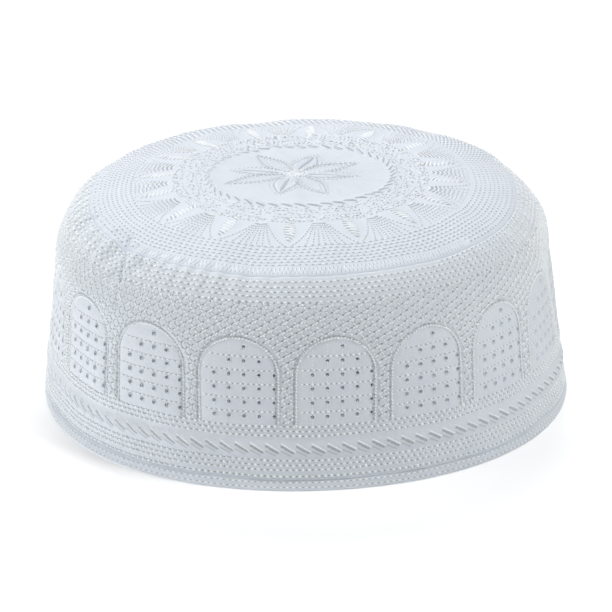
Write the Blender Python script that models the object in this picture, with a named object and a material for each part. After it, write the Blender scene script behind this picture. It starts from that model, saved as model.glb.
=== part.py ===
"""A round prayer cap: a side band that rolls over a soft shoulder, a domed crown and a turned hem.

Metres, +Z up. The cap stands on its rim, with the middle of its footprint at the origin
and its front towards -Y. A place on the cloth is given by its turn round the cap, its run
(how far up the cloth it lies from the rim) and its depth inside the cloth's outer face.
"""
import math
from collections import namedtuple

import bmesh
import bpy

# Driving sizes, in metres and degrees
HEAD_ROUND = 0.580        # round the rim, a size 58 cap
WALL_RUN = 0.0532         # from the rim to the foot of the shoulder, up the cloth
WALL_LEAN = 3.7           # how far the wall leans in from upright
SHOULDER_RADIUS = 0.0217
CROWN_SLOPE = 17.0        # slope of the crown where it meets the shoulder
CROWN_LIFT = 0.0050       # how strongly the crown bulges towards the front
SEAM_RUN = 0.0756         # from the rim to the crown seam, up the cloth
CLOTH = 0.0020            # stitched layers of the band and the crown
HEM_TALL = 0.0042
HEM_CLOTH = 0.0010        # each leaf of the turned hem
HEM_ROLL = 0.0004         # how far the hem swells out of the wall
TUCK_CLOTH = 0.0010       # the band's edge, pressed thin inside the hem
SEAM_LAP = 0.0050         # the crown's seam allowance, under the band
LAP_CLOTH = 0.0010
CLEARANCE = 0.0003        # between two pieces

# Mesh fineness
SIDES = 96
WALL_STEPS = 4
SHOULDER_STEPS = 6
CROWN_STEPS = 6
EDGE_ROUND = 0.0005       # width of a cut edge's chamfer

# The outline seen from above isn't a true circle: each row adds a gentle wave.
# lobes: swellings in one turn; swell: height as a share of the radius; toward: where one points
Wave = namedtuple("Wave", "lobes swell toward")
RIM_WAVES = (
    Wave(3, 0.010, 120),
    Wave(4, 0.007, 45),
)
SHOULDER_WAVES = (
    Wave(2, 0.040, 75),
    Wave(4, 0.010, 50),
)

# Puckers where the band was eased into the crown seam
# toward: its direction; up: its middle as a share of the seam's run;
# dip, wide and tall: depth and half sizes as shares of the shoulder's radius
Pucker = namedtuple("Pucker", "toward up dip wide tall")
PUCKERS = (
    Pucker(222, 0.98, 0.080, 0.22, 0.30),
    Pucker(201, 0.96, 0.055, 0.22, 0.30),
)

TURNS = [math.tau * side / SIDES for side in range(SIDES)]
LEAN = math.radians(WALL_LEAN)
SLOPE = math.radians(CROWN_SLOPE)


def waved(turn, waves):
    """Radius of a waved outline in one direction, as a share of the plain circle's."""
    return 1 + sum(wave.swell * math.cos(wave.lobes * (turn - math.radians(wave.toward)))
                   for wave in waves)


def outline_length(waves):
    """Length of the waved outline of a circle of radius 1."""
    corners = [(waved(turn, waves) * math.cos(turn), waved(turn, waves) * math.sin(turn))
               for turn in TURNS]
    return sum(math.dist(corners[side - 1], corners[side]) for side in range(SIDES))


# Sizes that follow
RIM_RADIUS = HEAD_ROUND / outline_length(RIM_WAVES)
SHOULDER_FOOT = WALL_RUN * math.cos(LEAN)
HUB_RADIUS = RIM_RADIUS - WALL_RUN * math.sin(LEAN) - SHOULDER_RADIUS * math.cos(LEAN)
HUB_HEIGHT = SHOULDER_FOOT - SHOULDER_RADIUS * math.sin(LEAN)
SHOULDER_END = WALL_RUN + SHOULDER_RADIUS * (math.pi / 2 - SLOPE - LEAN)
CROWN_RADIUS = HUB_RADIUS + SHOULDER_RADIUS * math.sin(SLOPE)
CROWN_FOOT = HUB_HEIGHT + SHOULDER_RADIUS * math.cos(SLOPE)
DOME_RISE = CROWN_RADIUS * math.tan(SLOPE) / 4
CROWN_END = SHOULDER_END + CROWN_RADIUS

HEM_SLOT = HEM_CLOTH + 2 * CLEARANCE + TUCK_CLOTH
HEM_DEPTH = HEM_CLOTH + HEM_SLOT
TUCK_DEPTH = HEM_CLOTH + CLEARANCE
LAP_DEPTH = CLOTH + CLEARANCE
BAND_FOOT = HEM_TALL + CLEARANCE
BAND_TOP = SEAM_RUN - CLEARANCE / 2
CROWN_EDGE = SEAM_RUN + CLEARANCE / 2


def side_view(run, depth, turn):
    """Radius and height of a place on a plain round cap of this profile, with its uneven crown."""
    if run <= WALL_RUN:
        # The bottom edge is level, and the cloth squares up to its lean on the way up
        radius = RIM_RADIUS - run * math.sin(LEAN) - depth * math.cos(LEAN)
        height = run * math.cos(LEAN) - depth * math.sin(LEAN) * run / WALL_RUN
    elif run <= SHOULDER_END:
        climb = LEAN + (run - WALL_RUN) / SHOULDER_RADIUS
        radius = HUB_RADIUS + (SHOULDER_RADIUS - depth) * math.cos(climb)
        height = HUB_HEIGHT + (SHOULDER_RADIUS - depth) * math.sin(climb)
    else:
        reach = (CROWN_END - run) / CROWN_RADIUS
        radius = (CROWN_RADIUS - depth * math.sin(SLOPE)) * reach
        bulge = CROWN_LIFT * reach * (1 - reach ** 2) ** 2 * -math.sin(turn)
        dome = DOME_RISE * (1 - reach ** 4)
        height = CROWN_FOOT + dome + bulge - depth * math.cos(SLOPE * reach ** 3)
    return radius, height


def pucker_dip(turn, run, radius):
    """How far the puckers sink the cloth at one place."""
    dip = 0.0
    for pucker in PUCKERS:
        wide = pucker.wide * SHOULDER_RADIUS
        tall = pucker.tall * SHOULDER_RADIUS
        aside = math.remainder(turn - math.radians(pucker.toward), math.tau) * radius
        above = run - pucker.up * SEAM_RUN
        dip += pucker.dip * SHOULDER_RADIUS * math.exp(-(aside / wide) ** 2 - (above / tall) ** 2)
    return dip


def cap_point(turn, run, depth):
    """The place in space of one point of the cloth, before the cap is centred."""
    plain_radius, _ = side_view(run, depth, turn)
    radius, height = side_view(run, depth + pucker_dip(turn, run, plain_radius), turn)
    rise = min(height / SHOULDER_FOOT, 1.0)
    share = (1 - rise) * waved(turn, RIM_WAVES) + rise * waved(turn, SHOULDER_WAVES)
    return share * radius * math.cos(turn), share * radius * math.sin(turn), height


def box_middle():
    """Middle of the cap's footprint, from the outer face of its cloth."""
    runs = [SEAM_RUN * step / SIDES for step in range(SIDES)]
    corners = [cap_point(turn, run, 0) for turn in TURNS for run in runs]
    across = [corner[0] for corner in corners]
    along = [corner[1] for corner in corners]
    return (min(across) + max(across)) / 2, (min(along) + max(along)) / 2


MIDDLE_X, MIDDLE_Y = box_middle()


def steps(start, end, count):
    """Evenly spaced values from start to end, both included."""
    return [start + (end - start) * step / count for step in range(count + 1)]


def add_ring(mesh, run, depth):
    """A ring of corners round the cap."""
    ring = []
    for turn in TURNS:
        x, y, z = cap_point(turn, run, depth)
        ring.append(mesh.verts.new((x - MIDDLE_X, y - MIDDLE_Y, z)))
    return ring


def join_rings(mesh, first, second):
    """A strip of faces between two rings, facing out where the second lies above the first."""
    for side in range(SIDES):
        mesh.faces.new((first[side - 1], first[side], second[side], second[side - 1]))


def cloth_material(name, colour, roughness):
    """Matt cloth in one plain colour."""
    material = bpy.data.materials.new(name)
    material.use_nodes = True
    shader = material.node_tree.nodes["Principled BSDF"]
    shader.inputs["Base Color"].default_value = colour
    shader.inputs["Roughness"].default_value = roughness
    shader.inputs["Metallic"].default_value = 0.0
    return material


def finish_piece(name, mesh, material):
    """Turn a finished mesh into a named, smooth-shaded object."""
    data = bpy.data.meshes.new(name)
    mesh.to_mesh(data)
    mesh.free()
    data.shade_smooth()
    data.set_sharp_from_angle(angle=math.radians(40))
    data.materials.append(material)
    piece = bpy.data.objects.new(name, data)
    bpy.context.scene.collection.objects.link(piece)
    return piece


def turned_piece(name, section, material):
    """A ring-shaped piece from its closed section: up the outside, over and down the inside."""
    mesh = bmesh.new()
    rings = [add_ring(mesh, run, depth) for run, depth in section]
    for index, ring in enumerate(rings):
        join_rings(mesh, rings[index - 1], ring)
    return finish_piece(name, mesh, material)


def rim_hem():
    """The turned hem: a soft roll at the rim whose two leaves hold the band's edge."""
    section = [
        (0.0, EDGE_ROUND),
        (EDGE_ROUND, 0.0),
        (HEM_TALL / 2, -HEM_ROLL),
        (HEM_TALL - EDGE_ROUND, 0.0),
        (HEM_TALL, EDGE_ROUND),
        (HEM_TALL, HEM_CLOTH),
        (HEM_CLOTH, HEM_CLOTH),
        (HEM_CLOTH, HEM_SLOT),
        (HEM_TALL, HEM_SLOT),
        (HEM_TALL, HEM_DEPTH),
        (EDGE_ROUND, HEM_DEPTH),
        (0.0, HEM_DEPTH - EDGE_ROUND),
    ]
    return turned_piece("rim_hem", section, cloth_material("hem_cloth", (0.83, 0.86, 0.90, 1), 0.75))


def side_band():
    """The tall band: tucked into the hem, up the wall and over the shoulder to the seam."""
    tuck_foot = HEM_CLOTH + CLEARANCE
    wall = steps(BAND_FOOT + EDGE_ROUND, WALL_RUN, WALL_STEPS)
    shoulder = steps(WALL_RUN, BAND_TOP - EDGE_ROUND, SHOULDER_STEPS)[1:]
    section = [(tuck_foot, TUCK_DEPTH), (BAND_FOOT, TUCK_DEPTH), (BAND_FOOT, EDGE_ROUND)]
    section += [(run, 0.0) for run in wall + shoulder]
    section += [(BAND_TOP, EDGE_ROUND)]
    section += [(run, CLOTH) for run in [BAND_TOP] + shoulder[-2::-1] + wall[:0:-1]]
    section += [(BAND_FOOT, TUCK_DEPTH + TUCK_CLOTH), (tuck_foot, TUCK_DEPTH + TUCK_CLOTH)]
    return turned_piece("side_band", section, cloth_material("band_cloth", (0.84, 0.87, 0.91, 1), 0.75))


def crown_top():
    """The round crown: its seam allowance under the band, the end of the shoulder and a low dome."""
    lap_foot = CROWN_EDGE - SEAM_LAP
    shoulder = steps(CROWN_EDGE + EDGE_ROUND, SHOULDER_END, SHOULDER_STEPS // 2)
    dome = steps(SHOULDER_END, CROWN_END, CROWN_STEPS)[1:-1]
    outside = [(lap_foot, LAP_DEPTH), (CROWN_EDGE, LAP_DEPTH), (CROWN_EDGE, EDGE_ROUND)]
    outside += [(run, 0.0) for run in shoulder + dome]
    inside = [(run, CLOTH) for run in (shoulder + dome)[:0:-1]]
    inside += [(CROWN_EDGE, LAP_DEPTH + LAP_CLOTH), (lap_foot, LAP_DEPTH + LAP_CLOTH)]

    mesh = bmesh.new()
    outer_rings = [add_ring(mesh, run, depth) for run, depth in outside]
    inner_rings = [add_ring(mesh, run, depth) for run, depth in inside]
    for rings in (outer_rings, inner_rings):
        for first, second in zip(rings, rings[1:]):
            join_rings(mesh, first, second)
    join_rings(mesh, inner_rings[-1], outer_rings[0])
    for ring, depth in ((outer_rings[-1], 0.0), (inner_rings[0][::-1], CLOTH)):
        x, y, z = cap_point(0.0, CROWN_END, depth)
        peak = mesh.verts.new((x - MIDDLE_X, y - MIDDLE_Y, z))
        for side in range(SIDES):
            mesh.faces.new((ring[side - 1], ring[side], peak))
    return finish_piece("crown_top", mesh, cloth_material("crown_cloth", (0.87, 0.90, 0.94, 1), 0.75))


def build():
    """Clear the scene and build the cap."""
    for leftover in list(bpy.data.objects):
        bpy.data.objects.remove(leftover)
    rim_hem()
    side_band()
    crown_top()


build()
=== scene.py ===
"""The prayer cap as it looks: white cotton, quilted and embroidered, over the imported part's shape.

Metres, +Z up, front towards -Y. A place on the band is given by how far it lies round the rim
from the middle of the front (around) and how far up the cloth from the rim (run). A place on the
crown is given on its plain round plan (across, along), with the middle of the crown at zero.
"""
import math
from collections import namedtuple

import bpy
import numpy as np
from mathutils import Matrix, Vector


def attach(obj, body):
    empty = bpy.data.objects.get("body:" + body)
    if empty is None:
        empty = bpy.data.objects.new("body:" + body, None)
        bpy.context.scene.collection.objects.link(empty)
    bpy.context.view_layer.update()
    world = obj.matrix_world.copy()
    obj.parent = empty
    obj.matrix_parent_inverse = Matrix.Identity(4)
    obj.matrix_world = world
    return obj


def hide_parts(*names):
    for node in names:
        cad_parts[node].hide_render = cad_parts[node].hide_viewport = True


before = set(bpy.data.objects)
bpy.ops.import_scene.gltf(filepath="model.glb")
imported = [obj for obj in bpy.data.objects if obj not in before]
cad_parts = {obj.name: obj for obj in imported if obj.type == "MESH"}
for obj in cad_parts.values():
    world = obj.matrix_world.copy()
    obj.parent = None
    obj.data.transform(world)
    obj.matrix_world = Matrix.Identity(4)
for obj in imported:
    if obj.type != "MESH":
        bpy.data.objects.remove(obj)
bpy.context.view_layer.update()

# The part's own sizes, in metres and degrees
HEAD_ROUND = 0.580
WALL_RUN = 0.0532
WALL_LEAN = 3.7
SHOULDER_RADIUS = 0.0217
CROWN_SLOPE = 17.0
CROWN_LIFT = 0.0050
SEAM_RUN = 0.0756
CLOTH = 0.0020
HEM_TALL = 0.0042
HEM_CLOTH = 0.0010
HEM_ROLL = 0.0004
TUCK_CLOTH = 0.0010
SEAM_LAP = 0.0050
CLEARANCE = 0.0003
EDGE_ROUND = 0.0005
MM = 0.001

Wave = namedtuple("Wave", "lobes swell toward")
RIM_WAVES = (
    Wave(3, 0.010, 120),
    Wave(4, 0.007, 45),
)
SHOULDER_WAVES = (
    Wave(2, 0.040, 75),
    Wave(4, 0.010, 50),
)
Pucker = namedtuple("Pucker", "toward up dip wide tall")
PUCKERS = (
    Pucker(222, 0.98, 0.080, 0.22, 0.30),
    Pucker(201, 0.96, 0.055, 0.22, 0.30),
)

# The embroidery on the band
ARCHES = 18
ARCH_PITCH = HEAD_ROUND / ARCHES
ARCH_MIDDLE = -21.3 * MM      # middle of one arch, round the rim from the front
ARCH_FOOT = 23.0 * MM
ARCH_SPRING = 41.0 * MM       # where its sides turn into the round top
ARCH_TOP = 53.8 * MM
ARCH_HALF = 13.2 * MM
EYELET_RADIUS = 0.64 * MM
EYELET_NECK = 0.46 * MM       # its radius inside the cloth
LATTICE_FOOT = 23.8 * MM
LATTICE_TOP = 65.6 * MM
ROPE_RUN = 15.4 * MM
ROPE_PITCH = HEAD_ROUND / 115
ROPE_SLANT = math.radians(-30)
ROPE_BAR = 5.2 * MM

# Creases (high below 0) and puffs: from one place to another, around and run in millimetres
Fold = namedtuple("Fold", "around run to_around to_run wide high")
FOLDS = (
    Fold(-84, 80, -71, 65, 1.2, -1.3),
    Fold(-87, 79, -75, 66, 3.2, -1.2),
    Fold(-96, 78, -85, 65, 3.5, 1.0),
    Fold(-77, 78, -67, 67, 2.4, 1.1),
    Fold(-68, 74, -63, 70, 1.3, -0.8),
    Fold(-115, 77, -114, 70, 1.8, -1.0),
    Fold(-106, 78, -98, 68, 4.0, 0.6),
    Fold(-96, 77, -92, 70, 1.4, -0.7),
    Fold(-71, 65, -69, 57, 0.9, -0.5),
)
SEAM_SHARE = 0.85             # how much shorter round the cap is at the seam than at the rim
SEAM_DIP = 0.05 * MM
GATHER_TOWARD = math.radians(212)   # where the band is gathered most
SMOOTH_FRONT = 55.0 * MM            # how far to each side the smooth strip under the seam reaches

# The embroidery on the crown
REPEATS = 16
FIRST_FAN = math.radians(7.5)
FIRST_LEAF = FIRST_FAN + math.pi / REPEATS
LEAF_RADIUS = 51.5 * MM
CROWN_MIDDLE = np.array([-1.0 * MM, -0.8 * MM])
FLOWER_MIDDLE = np.array([-3.6 * MM, 0.4 * MM])
PETAL_TOWARD = (-8, 70, 167, 259)
LOBE_TOWARD = (31, 119, 206, 296)

# The shells' mesh: steps that share their nodes with the eyelets
STEPS_PER_ARCH = 39
ROW_STEP = 0.81 * MM
LINING_SHARE = 3              # outer steps to one step of the inner face
COLUMNS = ARCHES * STEPS_PER_ARCH
EYELET_STEPS = 6              # between neighbouring eyelets, both ways
EYELET_SHIFT = 2.0 * MM       # from an arch's middle to its middle column of eyelets
EYELET_ROWS = (33, 39, 45, 51, 57, 63)
EYELET_COLUMNS = ((-2, -1, 0, 1, 2),) * 4 + ((-1, 0, 1), (0,))

SEED = 11
rng = np.random.default_rng(SEED)


def waved(turn, waves):
    """Radius of a waved outline in one direction, as a share of the plain circle's."""
    return 1 + sum(wave.swell * np.cos(wave.lobes * (turn - math.radians(wave.toward)))
                   for wave in waves)


def outline_lengths(turns):
    """How far round the rim of a cap of radius 1 each turn lies from the first."""
    radius = waved(turns, RIM_WAVES)
    corners = np.stack([radius * np.cos(turns), radius * np.sin(turns)], -1)
    return np.concatenate([[0], np.cumsum(np.linalg.norm(np.diff(corners, axis=0), axis=1))])


FRONT = -math.pi / 2
TURNS = np.linspace(FRONT, FRONT + math.tau, 2881)
LENGTHS = outline_lengths(TURNS)
RIM_RADIUS = HEAD_ROUND / LENGTHS[-1]
AROUND = LENGTHS * RIM_RADIUS

LEAN = math.radians(WALL_LEAN)
SLOPE = math.radians(CROWN_SLOPE)
SHOULDER_FOOT = WALL_RUN * math.cos(LEAN)
HUB_RADIUS = RIM_RADIUS - WALL_RUN * math.sin(LEAN) - SHOULDER_RADIUS * math.cos(LEAN)
HUB_HEIGHT = SHOULDER_FOOT - SHOULDER_RADIUS * math.sin(LEAN)
SHOULDER_END = WALL_RUN + SHOULDER_RADIUS * (math.pi / 2 - SLOPE - LEAN)
CROWN_RADIUS = HUB_RADIUS + SHOULDER_RADIUS * math.sin(SLOPE)
CROWN_FOOT = HUB_HEIGHT + SHOULDER_RADIUS * math.cos(SLOPE)
DOME_RISE = CROWN_RADIUS * math.tan(SLOPE) / 4
CROWN_END = SHOULDER_END + CROWN_RADIUS
BAND_FOOT = HEM_TALL + CLEARANCE
BAND_TOP = SEAM_RUN - CLEARANCE / 2
CROWN_EDGE = SEAM_RUN + CLEARANCE / 2
TUCK_DEPTH = HEM_CLOTH + CLEARANCE
HEM_SLOT = HEM_CLOTH + 2 * CLEARANCE + TUCK_CLOTH
HEM_DEPTH = HEM_CLOTH + HEM_SLOT


def turn_at(around):
    """The direction, seen from above, of a place round the rim."""
    return np.interp(np.mod(around, HEAD_ROUND), AROUND, TURNS)


def around_at(turn):
    """How far round the rim from the front a direction lies."""
    return np.interp(np.mod(turn - FRONT, math.tau) + FRONT, TURNS, AROUND)


def run_at(radius):
    """How far up the cloth a place on the plain round plan of the crown lies."""
    climb = np.arccos(np.clip((radius - HUB_RADIUS) / SHOULDER_RADIUS, 0, 1))
    return np.where(radius < CROWN_RADIUS, CROWN_END - radius, WALL_RUN + (climb - LEAN) * SHOULDER_RADIUS)


def radius_at(run):
    """Plain radius of a place on the shoulder or the crown."""
    climb = LEAN + (run - WALL_RUN) / SHOULDER_RADIUS
    return np.where(run > SHOULDER_END, CROWN_END - run, HUB_RADIUS + SHOULDER_RADIUS * np.cos(climb))


def side_view(run, depth, turn):
    """Radius and height of a place on a plain round cap of this profile, with its uneven crown."""
    climb = LEAN + (run - WALL_RUN) / SHOULDER_RADIUS
    reach = np.clip((CROWN_END - run) / CROWN_RADIUS, 0, 1)
    bulge = CROWN_LIFT * reach * (1 - reach ** 2) ** 2 * -np.sin(turn)
    dome = DOME_RISE * (1 - reach ** 4)
    on_wall = run <= WALL_RUN
    on_shoulder = run <= SHOULDER_END
    radius = np.select(
        [on_wall, on_shoulder],
        [RIM_RADIUS - run * math.sin(LEAN) - depth * math.cos(LEAN),
         HUB_RADIUS + (SHOULDER_RADIUS - depth) * np.cos(climb)],
        (CROWN_RADIUS - depth * math.sin(SLOPE)) * reach)
    height = np.select(
        [on_wall, on_shoulder],
        [run * math.cos(LEAN) - depth * math.sin(LEAN) * run / WALL_RUN,
         HUB_HEIGHT + (SHOULDER_RADIUS - depth) * np.sin(climb)],
        CROWN_FOOT + dome + bulge - depth * np.cos(SLOPE * reach ** 3))
    return radius, height


def pucker_dip(turn, run, radius):
    """How far the puckers sink the cloth."""
    dip = 0.0
    for pucker in PUCKERS:
        aside = np.mod(turn - math.radians(pucker.toward) + math.pi, math.tau) - math.pi
        aside = aside * radius / (pucker.wide * SHOULDER_RADIUS)
        above = (run - pucker.up * SEAM_RUN) / (pucker.tall * SHOULDER_RADIUS)
        dip = dip + pucker.dip * SHOULDER_RADIUS * np.exp(-aside ** 2 - above ** 2)
    return dip


def plain_cloth(turn, run, depth):
    """The part's own surface, before the cap is centred."""
    turn, run, depth = np.broadcast_arrays(turn, run, depth)
    plain_radius, _ = side_view(run, depth, turn)
    radius, height = side_view(run, depth + pucker_dip(turn, run, plain_radius), turn)
    rise = np.minimum(height / SHOULDER_FOOT, 1.0)
    share = (1 - rise) * waved(turn, RIM_WAVES) + rise * waved(turn, SHOULDER_WAVES)
    return np.stack([share * radius * np.cos(turn), share * radius * np.sin(turn), height], -1)


def box_middle():
    """Middle of the cap's footprint, from the outer face of its cloth."""
    runs = SEAM_RUN * np.arange(96) / 96
    turns = math.tau * np.arange(96) / 96
    places = plain_cloth(turns[:, None], runs[None, :], 0.0).reshape(-1, 3)
    middle = (places.min(axis=0) + places.max(axis=0)) / 2
    return np.array([middle[0], middle[1], 0.0])


MIDDLE = box_middle()


# The soft relief of the cloth

def hill(value, middle, half):
    """A smooth hill of height 1 over a stretch of a line."""
    return np.clip(1 - ((value - middle) / half) ** 2, 0, 1) ** 2


def groove(value, middle, half):
    """A soft groove of depth 1 with long slopes."""
    return np.exp(-((value - middle) / half) ** 2)


def from_arch(around):
    """Distance to the side from the middle of the nearest arch."""
    return np.mod(around - ARCH_MIDDLE + ARCH_PITCH / 2, ARCH_PITCH) - ARCH_PITCH / 2


def arch_share(around, run, grow=0.0):
    """0 at an arch's middle line and 1 on its outline, grown by a little if asked."""
    aside = from_arch(around) / (ARCH_HALF + grow)
    above = np.maximum(run - ARCH_SPRING, 0) / (ARCH_TOP - ARCH_SPRING + grow)
    below = run < ARCH_FOOT - grow
    return np.where(below, 9.0, np.hypot(aside, above))


def band_relief(around, run):
    """How far the band's cloth stands out of the plain surface."""
    slant = (run - ROPE_RUN) / math.tan(-ROPE_SLANT)
    phase = (around + slant) / ROPE_PITCH
    strand = 0.45 + 0.55 * np.abs(np.sin(math.pi * phase))
    relief = 0.75 * MM * hill(run, ROPE_RUN, 3.4 * MM) * strand
    relief = relief - SEAM_DIP * groove(run, SEAM_RUN, 0.6 * MM)
    share = arch_share(around, run)
    inside = np.clip(1 - share, 0, 1)
    pad = np.sqrt(np.clip(inside * 3, 0, 1)) * (run > ARCH_FOOT)
    aside = from_arch(around) - EYELET_SHIFT
    cell = EYELET_STEPS * ROW_STEP
    across = np.abs(np.sin(math.pi * (run - EYELET_ROWS[0] * ROW_STEP - 1.6 * MM) / cell))
    along = np.abs(np.sin(math.pi * aside / cell))
    quilt = 0.5 + 0.35 * across + 0.15 * along
    relief = relief + 0.42 * MM * pad * quilt
    relief = relief - 0.25 * MM * groove(share, 1.0, 0.05) * (run > ARCH_FOOT)
    return relief


def crown_relief(turn, run):
    """How far the crown's cloth stands out of the plain surface."""
    radius = radius_at(run)
    relief = -SEAM_DIP * groove(run, SEAM_RUN, 0.6 * MM)
    relief = relief + 0.35 * MM * hill(radius, 33.3 * MM, 2.6 * MM)
    across = radius * np.cos(turn)
    along = radius * np.sin(turn)
    for repeat in range(REPEATS):
        toward = FIRST_LEAF + math.tau * repeat / REPEATS
        out = (across * math.cos(toward) + along * math.sin(toward) - LEAF_RADIUS) / (7.5 * MM)
        aside = (along * math.cos(toward) - across * math.sin(toward)) / (3.6 * MM)
        relief = relief + 0.35 * MM * hill(np.hypot(out, aside), 0, 1)
    for toward in PETAL_TOWARD:
        ahead = math.radians(toward)
        across_petal = across - FLOWER_MIDDLE[0]
        along_petal = along - FLOWER_MIDDLE[1]
        out = across_petal * math.cos(ahead) + along_petal * math.sin(ahead)
        aside = along_petal * math.cos(ahead) - across_petal * math.sin(ahead)
        pad = hill(out, 13 * MM, 11 * MM) * hill(aside, 0, 4.5 * MM)
        relief = relief + 0.4 * MM * pad - 0.4 * MM * pad * groove(aside, 0, 1.0 * MM)
    return relief


def fold_relief(around, run):
    """The creases and puffs where the band was eased into the seam."""
    signed = np.mod(around + HEAD_ROUND / 2, HEAD_ROUND) - HEAD_ROUND / 2
    relief = 0.0
    for fold in FOLDS:
        start = np.array([fold.around, fold.run]) * MM
        way = np.array([fold.to_around, fold.to_run]) * MM - start
        share = ((signed - start[0]) * way[0] + (run - start[1]) * way[1]) / (way @ way)
        share = np.clip(share, 0, 1)
        aside = np.hypot((signed - start[0] - share * way[0]) * SEAM_SHARE, run - start[1] - share * way[1])
        relief = relief + fold.high * MM * np.exp(-(aside / (fold.wide * MM)) ** 2)
    return relief


def unevenness(turn, run):
    """Slow, shallow waves that hand-stitched cloth keeps, and its few folds."""
    waves = 0.22 * np.cos(9 * turn + 1.1 + 60 * run)
    waves = waves + 0.18 * np.cos(14 * turn - 2.0 - 95 * run)
    waves = waves + 0.12 * np.cos(23 * turn + 0.5 + 150 * run)
    calm = np.clip(run / 8e-3, 0, 1) * np.clip((CROWN_END - run) / 0.05, 0, 1)
    leftward = 0.25 + 0.75 * hill(np.cos(turn - GATHER_TOWARD), 1.0, 0.6)
    gathers = 0.45 * leftward * hill(run, SEAM_RUN - 4 * MM, 12 * MM) * np.cos(83 * turn + 2 * np.sin(9 * turn))
    return (waves * calm + gathers) * MM + fold_relief(around_at(turn), run)


def cloth(turn, run, lift=0.0):
    """A place on the stitched cloth, lifted off its outer face."""
    turn, run, lift = np.broadcast_arrays(turn, run, lift)
    relief = np.where(run < SEAM_RUN, band_relief(around_at(turn), run), crown_relief(turn, run))
    out = lift + relief * (lift > -CLOTH / 2) + unevenness(turn, run)
    return plain_cloth(turn, run, -out) - MIDDLE


def on_band(around, run, lift=0.0):
    """A place on the band."""
    return cloth(turn_at(around), run, lift)


def on_crown(across, along, lift=0.0):
    """A place on the crown, from its plain round plan."""
    return cloth(np.arctan2(along, across), run_at(np.hypot(across, along)), lift)


def on_hem(around, run, lift=0.0):
    """A place on the turned hem."""
    roll = HEM_ROLL * np.clip(1 - ((run - HEM_TALL / 2) / (HEM_TALL / 2)) ** 2, 0, 1)
    edge = EDGE_ROUND * np.clip(1 - run / EDGE_ROUND, 0, 1)
    edge = edge + 0.4 * EDGE_ROUND * np.clip(1 - (HEM_TALL - run) / EDGE_ROUND, 0, 1)
    return plain_cloth(turn_at(around), run, edge - roll - lift) - MIDDLE


# Materials

def maths(tree, operation, *values):
    """One maths node, fed by sockets or numbers."""
    node = tree.nodes.new("ShaderNodeMath")
    node.operation = operation
    for socket, value in zip(node.inputs, values):
        if isinstance(value, bpy.types.NodeSocket):
            tree.links.new(value, socket)
        else:
            socket.default_value = value
    return node.outputs[0]


def weave_height(tree):
    """A fine plain weave that follows the cap: threads round it and threads up it."""
    place = tree.nodes.new("ShaderNodeTexCoord").outputs["Object"]
    split = tree.nodes.new("ShaderNodeSeparateXYZ")
    tree.links.new(place, split.inputs[0])
    x, y, z = split.outputs
    radius = maths(tree, "SQRT", maths(tree, "ADD", maths(tree, "MULTIPLY", x, x), maths(tree, "MULTIPLY", y, y)))
    up_threads = maths(tree, "SINE", maths(tree, "MULTIPLY", maths(tree, "ARCTAN2", y, x), 1000.0))
    climb = maths(tree, "SUBTRACT", z, radius)
    round_threads = maths(tree, "SINE", maths(tree, "MULTIPLY", climb, math.tau / (0.56 * MM)))
    return maths(tree, "MULTIPLY", up_threads, round_threads)


def cloth_material(name, colour, crumple, weave=0.00003, sheen=0.15):
    """Matt white cotton with a fine weave, a slight crumple and faint cloudy variation."""
    material = bpy.data.materials.new(name)
    material.use_nodes = True
    tree = material.node_tree
    shader = tree.nodes["Principled BSDF"]
    shader.inputs["Roughness"].default_value = 0.78
    shader.inputs["Metallic"].default_value = 0.0
    shader.inputs["Sheen Weight"].default_value = sheen
    shader.inputs["Sheen Roughness"].default_value = 0.5

    place = tree.nodes.new("ShaderNodeTexCoord").outputs["Object"]
    cloud = tree.nodes.new("ShaderNodeTexNoise")
    cloud.inputs["Scale"].default_value = 90.0
    cloud.inputs["Detail"].default_value = 4.0
    tree.links.new(place, cloud.inputs["Vector"])
    tint = tree.nodes.new("ShaderNodeMix")
    tint.data_type = "RGBA"
    tint.inputs["A"].default_value = tuple(0.965 * channel for channel in colour) + (1,)
    tint.inputs["B"].default_value = tuple(min(1.0, 1.03 * channel) for channel in colour) + (1,)
    tree.links.new(cloud.outputs["Fac"], tint.inputs["Factor"])
    tree.links.new(tint.outputs["Result"], shader.inputs["Base Color"])

    fuzz = tree.nodes.new("ShaderNodeTexNoise")
    fuzz.inputs["Scale"].default_value = 1500.0
    tree.links.new(place, fuzz.inputs["Vector"])
    crinkle = tree.nodes.new("ShaderNodeTexNoise")
    crinkle.inputs["Scale"].default_value = 650.0
    crinkle.inputs["Detail"].default_value = 3.0
    tree.links.new(place, crinkle.inputs["Vector"])
    height = maths(tree, "ADD", weave_height(tree), maths(tree, "MULTIPLY", fuzz.outputs["Fac"], 1.5))
    height = maths(tree, "ADD", height, maths(tree, "MULTIPLY", crinkle.outputs["Fac"], crumple))
    bump = tree.nodes.new("ShaderNodeBump")
    bump.inputs["Distance"].default_value = weave
    bump.inputs["Strength"].default_value = 0.6
    tree.links.new(height, bump.inputs["Height"])
    tree.links.new(bump.outputs["Normal"], shader.inputs["Normal"])
    return material


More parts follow.
